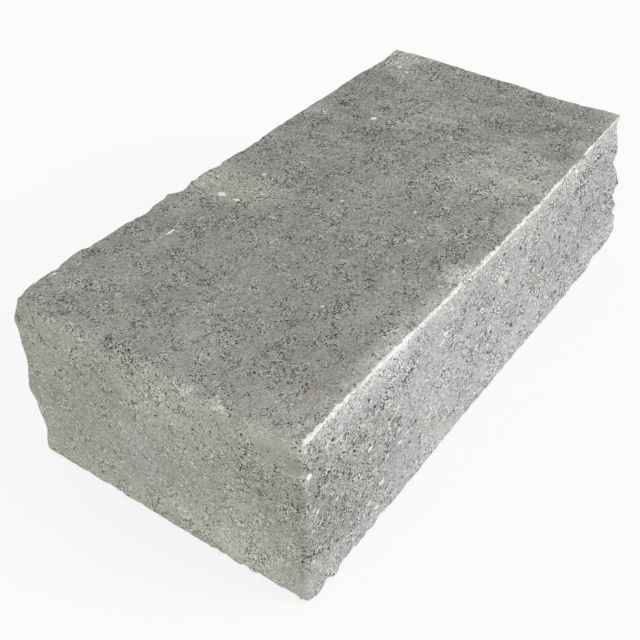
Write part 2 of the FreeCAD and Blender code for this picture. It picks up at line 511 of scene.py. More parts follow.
    def front_at(self, place: Vector) -> float:
        """Y of the split face level with a place, read clear of the arrises.

        Args:
            place: A point of the block.

        Returns:
            Y of the split face in metres.
        """
        low, high = self.low, self.high
        x = min(max(place.x, low.x + self.probe_margin), high.x - 2 * self.probe_margin)
        z = min(max(place.z, low.z + self.probe_margin), high.z - 0.5 * self.probe_margin)
        start = Vector((x, low.y - self.probe_margin, z))
        return self.solid.ray_cast(start, Vector((0, 1, 0)))[0].y

    def roughen(self, grid: bmesh.types.BMesh) -> None:
        """Moves each point in or out by the relief of the faces that it belongs to.

        Args:
            grid: The grid on the CAD solid.
        """
        bed_layer = grid.verts.layers.float[Mark.BED.value]
        split_layer = grid.verts.layers.float[Mark.SPLIT.value]
        grid.normal_update()
        for vert in grid.verts:
            bed = self.face_share(vert[bed_layer])
            split = self.face_share(vert[split_layer])
            mould = max(0.0, 1.0 - bed - split)
            reliefs = ((bed, self.bed_relief), (split, self.split_relief), (mould, self.mould_relief))
            lift = sum(share * relief.at(vert.co) for share, relief in reliefs if share > 0)
            vert.co += vert.normal * lift

    def wear(self, grid: bmesh.types.BMesh) -> None:
        """Sinks the pits into the faces and breaks the chips out of the arrises.

        Args:
            grid: The roughened grid.
        """
        dice = random.Random(self.seed)
        carver = Carver(grid, self.ragged_wave, self.ragged)
        for pits in self.pits:
            self.sink(carver, pits, dice)
        for chips in self.chips:
            self.chip(carver, chips, dice)
        for bite in self.bites:
            self.bite_out(carver, bite)

    def sink(self, carver: "Carver", pits: Pits, dice: random.Random) -> None:
        """Sinks one face's pits.

        Args:
            carver: What takes the scoops out of the mesh.
            pits: The face, and how many pits it has and how large.
            dice: The seeded source of chance.
        """
        sides = self.sides()
        across = [axis for axis in range(3) if pits.face.value[axis] == 0]
        area = sides[across[0]] * sides[across[1]]
        for _ in range(round(pits.per_square_metre * area)):
            place = self.box_point(pits.face.value)
            for axis in across:
                place[axis] = dice.uniform(self.low[axis], self.high[axis])
            on_face, outward, _, _ = self.solid.find_nearest(place)
            radius = dice.uniform(*pits.radius)
            centre = on_face + outward * (radius - dice.uniform(*pits.bite))
            # the hollow mark is where the finish later paints shade into the pit
            carver.scoop(centre, Vector((radius, radius, radius)), Mark.HOLLOW, 1.0)

    def chip(self, carver: "Carver", chips: Chips, dice: random.Random) -> None:
        """Breaks one arris's chips out.

        Args:
            carver: What takes the scoops out of the mesh.
            chips: The arris, and how many chips it has and how large.
            dice: The seeded source of chance.
        """
        run = chips.arris.run()
        for _ in range(round(chips.per_metre * self.sides()[run])):
            place = self.box_point(chips.arris.value)
            place[run] = dice.uniform(self.low[run], self.high[run])
            on_arris = carver.finder.find(place)[0]
            slants = [side * dice.uniform(*self.chip_slant) for side in chips.arris.value]
            outward = Vector(slants).normalized()
            reach = chips.reach[0] + (chips.reach[1] - chips.reach[0]) * dice.random() ** 2
            bite = min(dice.uniform(*chips.bite), self.chip_bite_limit * reach)
            radii = Vector([reach * dice.uniform(*self.chip_width) for _ in range(3)])
            radii[run] = reach * dice.uniform(*self.chip_length)
            carver.scoop(on_arris + outward * (min(radii) - bite), radii, Mark.FRESH, chips.fresh)

    def bite_out(self, carver: "Carver", bite: Bite) -> None:
        """Takes one bite out of its arris.

        Args:
            carver: What takes the scoops out of the mesh.
            bite: The bite.
        """
        run = bite.arris.run()
        place = self.box_point(bite.arris.value)
        place[run] = bite.along * MM
        outward = Vector(bite.arris.value).normalized()
        radii = Vector((bite.radius, bite.radius, bite.radius)) * MM
        radii[run] = bite.half * MM
        centre = carver.finder.find(place)[0] + outward * (bite.radius - bite.depth) * MM
        carver.scoop(centre, radii, Mark.FRESH, bite.fresh)


class Carver:
    """Takes scoops out of a mesh by pushing its points out onto the scoop's ragged surface."""

    mark_rise: float = 5.0

    def __init__(self, grid: bmesh.types.BMesh, wave: float, ragged: float) -> None:
        """Sorts the mesh's points for finding.

        Args:
            grid: The mesh to carve.
            wave: Length of the unevenness of a scoop's surface, in metres.
            ragged: Depth of that unevenness, as a share of the scoop's radius.
        """
        self.verts = list(grid.verts)
        self.layers = {mark: grid.verts.layers.float[mark.value] for mark in (Mark.FRESH, Mark.HOLLOW)}
        self.wave = wave
        self.ragged = ragged
        self.finder = KDTree(len(self.verts))
        for index, vert in enumerate(self.verts):
            self.finder.insert(vert.co, index)
        self.finder.balance()

    def scoop(self, centre: Vector, radii: Vector, mark: Mark, strength: float) -> None:
        """Takes one scoop out.

        Args:
            centre: Middle of the scoop, outside the mesh.
            radii: Its radius along X, Y and Z.
            mark: What the scoop leaves: fresh concrete, or a hollow that the finish darkens with painted
                shade.
            strength: How strong that mark is, from 0 to 1.
        """
        layer = self.layers[mark]
        for _, index, _ in self.finder.find_range(centre, (1.0 + self.ragged) * max(radii)):
            vert = self.verts[index]
            away = vert.co - centre
            reach = Vector([away[axis] / radii[axis] for axis in range(3)]).length
            edge = 1.0 + self.ragged * noise.noise(vert.co / self.wave)
            if 0.0 < reach < edge:
                vert.co = centre + away * (edge / reach)
                vert[layer] = max(vert[layer], strength * min(1.0, self.mark_rise * (edge - reach)))


class Mixed(Enum):
    """What a Mix node mixes: Blender's name for it, and the places of its two inputs and its result."""

    VALUE = ("FLOAT", 2, 3, 0)
    COLOUR = ("RGBA", 6, 7, 2)


class Board:
    """A node tree, with short calls that add nodes and join them."""

    def __init__(self, tree: bpy.types.NodeTree) -> None:
        """Starts on a node tree, emptied."""
        self.tree = tree
        tree.nodes.clear()

    def feed(self, socket: Wire, value: Feed) -> None:
        """Joins an input to a node's output, or sets it to a plain value.

        Args:
            socket: The input.
            value: The output to join it to, or the value.
        """
        if isinstance(value, Wire):
            self.tree.links.new(value, socket)
        else:
            socket.default_value = value

    def add(self, kind: str, inputs: dict[str, Feed] | None = None) -> bpy.types.Node:
        """Adds a node.

        Args:
            kind: Blender's name for the kind of node.
            inputs: What its named inputs are joined to or set to.

        Returns:
            The node.
        """
        node = self.tree.nodes.new(kind)
        for name, value in (inputs or {}).items():
            self.feed(node.inputs[name], value)
        return node

    def math(self, operation: str, *values: Feed) -> Wire:
        """Adds a sum of values.

        Args:
            operation: Blender's name for the sum.
            values: The values, in the order that the sum takes them.

        Returns:
            The sum's output.
        """
        node = self.add("ShaderNodeMath")
        node.operation = operation
        for socket, value in zip(node.inputs, values):
            self.feed(socket, value)
        return node.outputs[0]

    def times(self, first: Wire, *others: Feed) -> Wire:
        """Adds the product of values.

        Args:
            first: The first value.
            others: What it is multiplied by, one after another.

        Returns:
            The product's output.
        """
        product = first
        for other in others:
            product = self.math("MULTIPLY", product, other)
        return product

    def vector(self, operation: str, *values: Feed) -> Wire:
        """Adds a sum of vectors or colours.

        Args:
            operation: Blender's name for the sum.
            values: The vectors, in the order that the sum takes them.

        Returns:
            The sum's output.
        """
        node = self.add("ShaderNodeVectorMath")
        node.operation = operation
        for socket, value in zip(node.inputs, values):
            self.feed(socket, value)
        return node.outputs["Value"] if operation == "LENGTH" else node.outputs["Vector"]

    def scaled(self, vector: Wire, factor: Feed) -> Wire:
        """Adds a vector or a colour times one factor.

        Args:
            vector: The vector or colour.
            factor: What it is multiplied by.

        Returns:
            The scaled vector or colour.
        """
        node = self.add("ShaderNodeVectorMath")
        node.operation = "SCALE"
        self.feed(node.inputs["Vector"], vector)
        self.feed(node.inputs["Scale"], factor)
        return node.outputs["Vector"]

    def part(self, place: Wire, axis: str) -> Wire:
        """Adds one coordinate of a place, by the name of its axis."""
        return self.add("ShaderNodeSeparateXYZ", {"Vector": place}).outputs[axis]

    def noise(
        self, place: Wire, wave: float, detail: float = 2.0, fall: float = 0.5, output: str = "Fac"
    ) -> Wire:
        """Adds cloudy noise.

        Args:
            place: Where the noise is read, in millimetres.
            wave: Length of its longest wave, in millimetres.
            detail: Number of finer octaves.
            fall: How much of its strength each octave keeps.
            output: Blender's name for the output that is wanted.

        Returns:
            The noise, about 0.5.
        """
        inputs = {"Vector": place, "Scale": 1.0 / wave, "Detail": detail, "Roughness": fall}
        return self.add("ShaderNodeTexNoise", inputs).outputs[output]

    def cells(self, place: Wire, width: float) -> Wire:
        """Adds grains of chance tones.

        Args:
            place: Where the grains are read, in millimetres.
            width: About how wide each grain is, in millimetres.

        Returns:
            The grains' tones, from -0.5 to 0.5.
        """
        grains = self.add("ShaderNodeTexVoronoi", {"Vector": place, "Scale": 1.0 / width})
        tone = self.add("ShaderNodeSeparateColor", {"Color": grains.outputs["Color"]}).outputs["Red"]
        return self.math("SUBTRACT", tone, 0.5)

    def ramp(self, value: Wire, start: Feed, stop: Feed, low: Feed = 0.0, high: Feed = 1.0) -> Wire:
        """Adds a smooth ramp from one value to another.

        Args:
            value: The value that the ramp follows.
            start: Where the ramp leaves low.
            stop: Where it comes to high.
            low: The value before the ramp.
            high: The value after it.

        Returns:
            The ramp's output.
        """
        inputs = {"Value": value, "From Min": start, "From Max": stop, "To Min": low, "To Max": high}
        node = self.add("ShaderNodeMapRange", inputs)
        node.interpolation_type = "SMOOTHSTEP"
        return node.outputs["Result"]

    def mix(self, share: Wire, first: Feed, second: Feed, kind: Mixed = Mixed.COLOUR) -> Wire:
        """Adds a mix of two colours, or of two values.

        Args:
            share: How much of the second shows, from 0 to 1.
            first: The first colour or value.
            second: The second one.
            kind: Whether they are colours or values.

        Returns:
            The mix.
        """
        data_type, first_at, second_at, result_at = kind.value
        node = self.add("ShaderNodeMix")
        node.data_type = data_type
        for at, value in ((0, share), (first_at, first), (second_at, second)):
            self.feed(node.inputs[at], value)
        return node.outputs[result_at]

    def blend(self, share: Wire, first: Feed, second: Feed) -> Wire:
        """Adds a mix of two values."""
        return self.mix(share, first, second, Mixed.VALUE)

    def group(self, tree: bpy.types.NodeTree, inputs: dict[str, Feed]) -> bpy.types.Node:
        """Places a node group.

        Args:
            tree: The group.
            inputs: What its named inputs are joined to or set to.

        Returns:
            The placed group.
        """
        node = self.add("ShaderNodeGroup")
        node.node_tree = tree
        for name, value in inputs.items():
            self.feed(node.inputs[name], value)
        return node

    def spots(
        self, tree: bpy.types.NodeTree, place: Wire, cell: float, fill: Wire, radius: float
    ) -> bpy.types.NodeOutputs:
        """Places the group that scatters spots, and gives its outputs."""
        return self.group(tree, {"Place": place, "Cell": cell, "Fill": fill, "Radius": radius}).outputs


class Socket(Enum):
    """The kinds of socket that a node group has."""

    VALUE = "NodeSocketFloat"
    COLOUR = "NodeSocketColor"
    PLACE = "NodeSocketVector"


def new_group(
    name: str, inputs: dict[str, Socket], outputs: dict[str, Socket]
) -> tuple[Board, bpy.types.Node, bpy.types.Node]:
    """Starts a node group with its named sockets.

    Args:
        name: The group's name.
        inputs: Its inputs and their kinds.
        outputs: Its outputs and their kinds.

    Returns:
        A board on the group, its input node and its output node.
    """
    tree = bpy.data.node_groups.new(name, "ShaderNodeTree")
    for way, sockets in (("INPUT", inputs), ("OUTPUT", outputs)):
        for label, kind in sockets.items():
            tree.interface.new_socket(name=label, in_out=way, socket_type=kind.value)
    board = Board(tree)
    return board, board.add("NodeGroupInput"), board.add("NodeGroupOutput")


def spots_group() -> bpy.types.NodeTree:
    """Builds the group that scatters round spots, for pores, specks and bits of stone.

    Returns:
        The group: Place in millimetres, Cell between spots, Fill as the share of cells that have one, and
        Radius in cells. It puts out Mask, and Tone, which differs from spot to spot.
    """
    board, given, out = new_group(
        "Spots",
        {"Place": Socket.PLACE, "Cell": Socket.VALUE, "Fill": Socket.VALUE, "Radius": Socket.VALUE},
        {"Mask": Socket.VALUE, "Tone": Socket.VALUE},
    )
    in_cells = board.scaled(given.outputs["Place"], board.math("DIVIDE", 1.0, given.outputs["Cell"]))
    cells = board.add("ShaderNodeTexVoronoi", {"Vector": in_cells, "Scale": 1.0})
    chance = board.add("ShaderNodeSeparateColor", {"Color": cells.outputs["Color"]})
    has_spot = board.math("LESS_THAN", chance.outputs["Red"], given.outputs["Fill"])
    size = board.math("MULTIPLY_ADD", chance.outputs["Green"], 0.9, 0.55)
    radius = board.times(size, given.outputs["Radius"])
    spot = board.ramp(cells.outputs["Distance"], radius, board.times(radius, 0.65))
    board.feed(out.inputs["Mask"], board.times(spot, has_spot))
    board.feed(out.inputs["Tone"], chance.outputs["Blue"])
    return board.tree


@dataclass(frozen=True)
class Skin:
    """One skin of the concrete: its tones, its grain, its gaps, cracks and pits, and its bits of stone."""

    dark: Colour
    light: Colour
    grain: float
    gap: float
    crack: float
    pit: float
    speck: float
    sliver: float
    speck_colour: Colour

    @staticmethod
    def label(measure: str) -> str:
        """Name of a measure's socket on the group that paints a skin."""
        return measure.replace("_", " ").title()


@dataclass(frozen=True)
class Stone:
    """One bit of stone or one pore that shows in a face, by its place and its radius along X, Y and Z.

    Both are in millimetres. Its lean is how far it falls for each millimetre along X.
    """

    place: Triple
    radius: Triple
    colour: Colour
    lean: float = 0.0


@dataclass(frozen=True)
class Tone:
    """A soft patch of the concrete's colour, or of painted light: its place and reach in millimetres, and
    its gain in colour.
    """

    place: Triple
    reach: Triple
    gain: Triple


@dataclass(frozen=True)
class Calm:
    """A patch that is rubbed smoother: its place, its reach and the share of the grain that is left."""

    place: Triple
    reach: Triple
    left: float


@dataclass(frozen=True)
class Grit:
    """What every skin of the concrete is made of, with waves, cells, heights and depths in millimetres.

    It has slow patches and sand, crumbs and holes that open in clusters, short cracks, pits, and specks
    and slivers of stone. A radius is a share of its cell. A pair of grain, rise or fill is a value outside
    the clusters and in them.
    """

    patch_wave: float = 38.0
    coarse_grain: float = 1.7
    coarse_share: float = 0.2
    fine_grain: float = 0.5
    sand_height: float = 0.26
    cluster_wave: float = 11.0
    cluster_grain: tuple[float, float] = (0.7, 1.45)
    crumb_wave: float = 1.1
    crumb_level: float = 0.28
    crumb_rise: tuple[float, float] = (0.02, 0.09)
    rim_light: float = 0.25
    hole_cell: float = 1.15
    hole_radius: float = 0.35
    hole_fill: tuple[float, float] = (0.1, 0.75)
    hole_shade: float = 0.14
    hole_depth: float = 0.5
    crack_wave: float = 9.0
    crack_half: tuple[float, float] = (0.014, 0.005)
    torn_wave: float = 17.0
    pit_cell: float = 4.6
    pit_radius: float = 0.18
    speck_cell: float = 2.4
    speck_radius: float = 0.22
    sliver_cell: float = 3.1
    sliver_radius: float = 0.17
    sliver_stretch: Triple = (0.35, 1.0, 0.9)

    def group(self) -> bpy.types.NodeTree:
        """Builds the group that paints the skin of the concrete.

        Returns:
            The group: Place in millimetres, and an input for each measure of a skin. It puts out Colour,
            and Height in millimetres.
        """
        sockets = {"Place": Socket.PLACE}
        for field in fields(Skin):
            sockets[Skin.label(field.name)] = Socket.COLOUR if field.type is Colour else Socket.VALUE
        outputs = {"Colour": Socket.COLOUR, "Height": Socket.VALUE}
        board, given, out = new_group("Concrete Skin", sockets, outputs)
        skin = given.outputs
        spots = spots_group()
        patch = board.ramp(board.noise(skin["Place"], self.patch_wave, 4, 0.6), 0.36, 0.64)
        base = board.mix(patch, skin["Dark"], skin["Light"])
        coarse = board.times(board.cells(skin["Place"], self.coarse_grain), self.coarse_share)
        sand = board.math("ADD", coarse, board.cells(skin["Place"], self.fine_grain))
        cluster = board.ramp(board.noise(skin["Place"], self.cluster_wave, 4, 0.65), 0.45, 0.62)
        busy = board.ramp(cluster, 0.0, 1.0, *self.cluster_grain)
        hole, rim = self.openings(board, skin, spots, cluster)
        grain = board.times(sand, skin["Grain"], busy)
        shade = board.math("ADD", board.math("ADD", 1.0, grain), board.times(rim, cluster))
        tinted = board.scaled(base, shade)
        holed = board.mix(hole, tinted, board.scaled(tinted, self.hole_shade))
        bits = self.bits(board, skin, spots, busy)
        board.feed(out.inputs["Colour"], board.mix(bits, holed, skin["Speck Colour"]))
        relief = board.times(sand, self.sand_height)
        sunk = board.times(hole, self.hole_depth)
        board.feed(out.inputs["Height"], board.math("SUBTRACT", relief, sunk))
        return board.tree

    def openings(
        self, board: Board, skin: bpy.types.NodeOutputs, spots: bpy.types.NodeTree, cluster: Wire
    ) -> tuple[Wire, Wire]:
        """Adds the crumbs and holes, the cracks and the pits.

        Args:
            board: The group's board.
            skin: The group's place and measures.
            spots: The group that scatters spots.
            cluster: Where the crumbs and holes open most, from 0 to 1.

        Returns:
            The mask of all that is open, and the light on the crumbs' rims.
        """
        place = skin["Place"]
        crumb = board.noise(place, self.crumb_wave, 2, 0.6)
        thick = board.times(skin["Gap"], board.ramp(cluster, 0.0, 1.0, *self.crumb_rise))
        level = board.math("ADD", thick, self.crumb_level)
        crumbs = board.ramp(crumb, level, board.math("SUBTRACT", level, 0.03))
        outer, inner = (board.math("ADD", level, past) for past in (0.13, 0.02))
        rim = board.ramp(crumb, outer, inner, 0.0, self.rim_light)
        often = board.times(skin["Gap"], board.ramp(cluster, 0.0, 1.0, *self.hole_fill))
        holes = board.spots(spots, place, self.hole_cell, often, self.hole_radius)
        gap = board.math("MAXIMUM", crumbs, holes["Mask"])
        bend = board.math("SUBTRACT", board.noise(place, self.crack_wave, 3, 0.6), 0.5)
        line = board.ramp(board.math("ABSOLUTE", bend), *self.crack_half)
        torn = board.ramp(board.noise(place, self.torn_wave), 0.52, 0.6)
        crack = board.times(line, torn, skin["Crack"])
        pits = board.spots(spots, place, self.pit_cell, skin["Pit"], self.pit_radius)
        hole = board.math("MAXIMUM", board.math("MAXIMUM", gap, crack), pits["Mask"])
        return hole, rim

    def bits(
        self, board: Board, skin: bpy.types.NodeOutputs, spots: bpy.types.NodeTree, busy: Wire
    ) -> Wire:
        """Adds the pale specks and slivers of stone.

        Args:
            board: The group's board.
            skin: The group's place and measures.
            spots: The group that scatters spots.
            busy: How much there is of the grain.

        Returns:
            The mask, from 0 to 1.
        """
        few = board.times(skin["Speck"], busy)
        specks = board.spots(spots, skin["Place"], self.speck_cell, few, self.speck_radius)
        along = board.vector("MULTIPLY", skin["Place"], self.sliver_stretch)
        slivers = board.spots(spots, along, self.sliver_cell, skin["Sliver"], self.sliver_radius)
        bright = board.math("MAXIMUM", specks["Mask"], slivers["Mask"])
        tone = board.math("MAXIMUM", specks["Tone"], slivers["Tone"])
        return board.times(bright, board.ramp(tone, 0.0, 1.0, 0.3, 1.0))


@dataclass(frozen=True)
class Ground:
    """What the concrete's layers are drawn on.

    It holds the material's board, the point of the block in millimetres, slow noise about 0, and the shares
    of the pressed beds and of the split face.
    """

    board: Board
    place: Wire
    drift: Wire
    bed: Wire
    split: Wire


@dataclass(frozen=True)
class ConcreteFinish:
    """Grey dry-cast concrete: pressed beds, a paler split front, buff moulded sides, one crushed arris.

    Waves, widths and reaches are in millimetres, and a gain multiplies the colour. The pairs of the soft
    border say how ragged, how wide and how far back it is, away from its arris and beside it. The near rises
    are what the split face's measures gain by the near end, and the end grain is the share of grain and gaps
    at the near end and at the far end.
    """

    grit: Grit = Grit()
    bed: Skin = Skin(
        dark=seen(147, 149, 142),
        light=seen(159, 161, 154),
        grain=1.1,
        gap=1.0,
        crack=0.6,
        pit=0.0,
        speck=0.3,
        sliver=0.0,
        speck_colour=seen(204, 205, 198),
    )
    split: Skin = Skin(
        dark=seen(176, 178, 175),
        light=seen(186, 188, 185),
        grain=1.2,
        gap=1.0,
        crack=0.2,
        pit=0.28,
        speck=0.36,
        sliver=0.2,
        speck_colour=seen(240, 241, 239),
    )
    mould: Skin = Skin(
        dark=seen(157, 159, 146),
        light=seen(168, 170, 159),
        grain=1.35,
        gap=0.62,
        crack=0.2,
        pit=0.0,
        speck=0.24,
        sliver=0.0,
        speck_colour=seen(212, 213, 204),
    )
    arris: Colour = seen(248, 249, 246)
    fresh_gain: float = 1.3
    fringe_gain: float = 1.06
    strip_gain: float = 1.18
    # painted shade in the pits: the share of colour that the deepest part of a pit keeps
    hollow_gain: float = 0.88
    # painted bounce light: lifts the colour of every face over its lowest 30 mm
    foot_gain: float = 1.12
    roughness: tuple[float, float] = (0.97, 0.86)
    specular: float = 0.3
    stray_wave: float = 2.2
    skin_stray: float = 0.5
    stone_stray: float = 2.0
    drift_wave: float = 8.0
    soft_band: tuple[float, float] = (18.0, 7.0)
    soft_border: tuple[tuple[float, float], ...] = ((1.5, 14.0), (0.5, 3.0), (0.0, 1.5))
    edge_gap: float = 0.35
    near_rises: tuple[tuple[str, float], ...] = (
        ("Gap", 0.35),
        ("Grain", 0.65),
        ("Speck", 0.1),
        ("Sliver", 0.3),
    )
    line_calm: float = 0.65
    end_grain: tuple[float, float] = (0.88, 1.45)
    tones: tuple[Tone, ...] = (
        Tone((52, -44, 89), (44, 34, 10), (1.27, 1.26, 1.26)),
        Tone((-31, 60, 89), (22, 42, 10), (1.3, 1.28, 1.22)),
        Tone((64, -40, 89), (22, 30, 8), (1.1, 1.1, 1.1)),
        Tone((60, 70, 89), (18, 10, 8), (1.22, 1.22, 1.22)),
        Tone((-82, -72, 89), (40, 10, 5), (1.4, 1.42, 1.45)),
        Tone((-127, -61, 89), (6, 5, 6), (1.16, 1.06, 1.0)),
        Tone((14, -68, 89), (30, 9, 6), (1.12, 1.12, 1.1)),
        Tone((-145, -62, 89), (26, 30, 10), (1.13, 1.11, 1.09)),
        Tone((90, 6, 89), (22, 18, 10), (1.1, 1.1, 1.1)),
        Tone((-68, -20, 89), (34, 34, 10), (0.88, 0.88, 0.88)),
        Tone((-150, -77, 44), (75, 9, 44), (0.8, 0.79, 0.78)),
        Tone((-146, -75, 80), (13, 8, 14), (0.84, 0.84, 0.84)),
        Tone((-98, -75, 81), (28, 8, 10), (1.16, 1.16, 1.16)),
        Tone((-147, -75, 3), (12, 9, 12), (0.86, 0.86, 0.86)),
        Tone((-35, -74, 20), (60, 12, 48), (1.11, 1.11, 1.11)),
        Tone((100, -76, 60), (64, 12, 50), (0.91, 0.91, 0.91)),
        Tone((50, -75, 18), (80, 12, 34), (1.05, 1.05, 1.05)),
        Tone((-153, -14, 62), (14, 36, 26), (1.08, 1.09, 1.11)),
        Tone((-153, 8, 70), (10, 14, 14), (1.12, 1.12, 1.12)),
        Tone((-153, -24, 24), (14, 44, 30), (1.06, 1.06, 1.06)),
        Tone((-153, 62, 84), (10, 26, 10), (0.9, 0.9, 0.89)),
        Tone((-153, 5, 40), (14, 45, 40), (0.99, 1.0, 1.03)),
        Tone((-153, -60, 50), (14, 22, 24), (0.94, 0.94, 0.92)),
        Tone((-153, -65, 81), (8, 15, 8), (0.9, 0.9, 0.89)),
        # painted bounce light: lightens the near end's foot, where too little light from the floor reaches
        # it
        Tone((-153, 0, 0), (14, 110, 26), (1.14, 1.14, 1.14)),
        Tone((-136, 28, 89), (7, 6, 6), (1.08, 1.0, 0.93)),
        Tone((150, 0, 89), (15, 200, 9), (1.28, 1.28, 1.28)),
        Tone((144, 66, 89), (34, 26, 9), (1.34, 1.34, 1.34)),
        Tone((46, -57, 89), (8, 20, 6), (1.12, 1.1, 1.08)),
    )
    fringe: tuple[Tone, ...] = (
        Tone((-152, -1, 88), (3, 4, 4), (1.28, 1.28, 1.26)),
        Tone((-152, -20, 88), (3, 4, 4), (1.34, 1.34, 1.32)),
        Tone((-152, -36, 88), (3, 5, 4), (1.3, 1.3, 1.28)),
        Tone((-152, -58, 88), (3, 4, 4), (1.16, 1.16, 1.14)),
        Tone((-34, -69, 88.5), (11, 8, 6), (1.4, 1.4, 1.42)),
        Tone((-36, 71, 88), (11, 6, 5), (1.16, 1.15, 1.11)),
    )
    calms: tuple[Calm, ...] = (
        Calm((-150, -75, 2), (20, 16, 16), 0.5),
        Calm((-148, -75, 80), (20, 12, 16), 0.85),
        Calm((-153, -64, 80), (8, 16, 9), 0.5),
        Calm((-110, -77, 85), (60, 8, 12), 0.65),
        Calm((46, -57, 89), (7, 18, 6), 0.5),
        Calm((62, -40, 89), (34, 32, 8), 0.82),
        Calm((-153, 30, 42), (12, 72, 56), 0.87),
    )
    streak_wave: float = 9.0
    streak_stretch: Triple = (1.0, 0.26, 1.0)
    streak_gain: tuple[float, float] = (0.9, 1.12)
    flat_from: float = -60.0
    flatten: float = 0.001
    line_width: tuple[float, float] = (0.2, 2.3)
    line_gaps: tuple[Triple, ...] = (
        (84.5, -74.0, 88.5),
        (-31.0, -74.0, 88.5),
        (-154.0, -74.0, 88.5),
    )
    line_gap_reach: Triple = (5.0, 6.0, 6.0)
    stones: tuple[Stone, ...] = (
        Stone((64.6, 37.0, 89.0), (2.1, 1.9, 1.5), seen(244, 243, 239)),
        Stone((126.7, 59.3, 89.0), (1.7, 1.5, 1.5), seen(232, 232, 226)),
        Stone((123.1, 52.3, 89.0), (1.5, 1.4, 1.5), seen(230, 230, 224)),
        Stone((-13.5, 4.0, 89.0), (1.3, 1.1, 1.5), seen(222, 222, 216)),
        Stone((8.7, -39.8, 89.0), (1.0, 2.4, 1.5), seen(205, 205, 199)),
        Stone((-40.4, 54.9, 89.0), (1.9, 2.5, 1.5), seen(240, 239, 234)),
        Stone((-40.5, 45.5, 89.0), (1.5, 1.9, 1.5), seen(232, 231, 224)),
        Stone((-14.7, 49.3, 89.0), (1.1, 1.3, 1.5), seen(222, 222, 216)),
        Stone((-43.0, 21.5, 89.0), (1.0, 1.7, 1.5), seen(190, 190, 182)),
        Stone((-75.5, 56.4, 89.0), (0.5, 3.0, 1.5), seen(96, 97, 90)),
        Stone((-78.5, 53.4, 89.0), (3.4, 0.9, 1.5), seen(242, 242, 237)),
        Stone((-72.9, 52.4, 89.0), (1.3, 0.5, 1.5), seen(214, 214, 208)),
        Stone((-76.0, 50.5, 89.0), (1.2, 0.5, 1.5), seen(206, 206, 200)),
        Stone((-130.4, 72.8, 89.0), (1.0, 1.0, 1.5), seen(236, 236, 232)),
        Stone((-1.0, -74.5, 67.9), (3.9, 8.0, 2.5), seen(222, 218, 200), 0.65),
        Stone((80.8, -74.5, 84.4), (2.0, 8.0, 1.4), seen(240, 240, 237), 0.6),
        Stone((-148.5, -74.5, 71.5), (1.7, 8.0, 1.8), seen(244, 244, 241), 0.5),
        Stone((-144.6, -74.5, 49.0), (1.4, 8.0, 1.0), seen(238, 238, 235)),
        Stone((-99.6, -74.5, 23.6), (2.5, 8.0, 1.1), seen(242, 242, 240)),
        Stone((-50.3, -74.5, 70.6), (2.5, 8.0, 1.1), seen(242, 242, 240)),
        Stone((-17.9, -74.5, 61.6), (2.0, 8.0, 0.8), seen(238, 238, 236)),
        Stone((-108.6, -74.5, 18.9), (1.9, 8.0, 1.0), seen(246, 246, 244)),
        Stone((-102.8, -74.5, 10.3), (1.6, 8.0, 1.1), seen(246, 246, 244), 0.5),
        Stone((-86.2, -74.5, 36.4), (2.0, 8.0, 1.1), seen(246, 246, 244)),
        Stone((-80.6, -74.5, 37.1), (2.0, 8.0, 1.0), seen(246, 246, 244)),
        Stone((-109.4, -74.5, 52.0), (1.9, 8.0, 1.0), seen(246, 246, 244)),
        Stone((-113.1, -74.5, 67.6), (1.5, 8.0, 0.7), seen(232, 232, 230)),
        Stone((-128.0, -74.5, 74.0), (1.5, 8.0, 0.7), seen(232, 232, 230)),
        Stone((-7.4, -74.5, 33.9), (1.6, 8.0, 1.3), seen(236, 236, 234), 0.6),
        Stone((37.5, -74.5, 50.8), (1.4, 8.0, 1.2), seen(236, 236, 234), 0.6),
        Stone((-120.0, -74.5, 60.0), (1.4, 8.0, 1.0), seen(84, 84, 82), 0.6),
        Stone((-6.1, -74.5, 60.6), (1.9, 8.0, 1.2), seen(92, 92, 90), 0.6),
        Stone((18.7, -74.5, 28.2), (2.2, 8.0, 1.5), seen(92, 92, 90), 0.6),
        Stone((17.7, -74.5, 74.9), (1.7, 8.0, 1.1), seen(96, 96, 94), 0.6),
        Stone((8.2, -74.5, 61.5), (1.5, 8.0, 1.3), seen(78, 78, 76), 0.2),
        Stone((74.8, -74.5, 22.0), (1.9, 8.0, 1.1), seen(84, 84, 82), 0.6),
        Stone((-2.4, -74.5, 25.3), (1.6, 8.0, 1.1), seen(92, 92, 90), 0.6),
        Stone((-2.7, -29.7, 89.0), (0.9, 0.8, 1.5), seen(220, 220, 214)),
        Stone((-43.8, -21.5, 89.0), (1.1, 1.0, 1.5), seen(212, 212, 206)),
        Stone((-43.0, -4.7, 89.0), (1.0, 0.9, 1.5), seen(200, 200, 194)),
        Stone((-83.8, -35.0, 89.0), (1.0, 0.9, 1.5), seen(206, 206, 200)),
        Stone((-18.4, -42.4, 89.0), (0.9, 1.3, 1.5), seen(206, 206, 200)),
        Stone((-58.9, 10.4, 89.0), (2.0, 1.0, 1.5), seen(186, 186, 178)),
        Stone((-15.8, 8.4, 89.0), (1.5, 1.3, 1.5), seen(92, 94, 88)),
        Stone((-152.5, 38.0, 80.0), (8.0, 0.9, 0.9), seen(84, 86, 78)),
        Stone((-152.5, 28.0, 48.0), (8.0, 0.8, 0.9), seen(84, 86, 78)),
        Stone((-152.5, 26.0, 43.0), (8.0, 0.9, 0.8), seen(84, 86, 78)),
    )

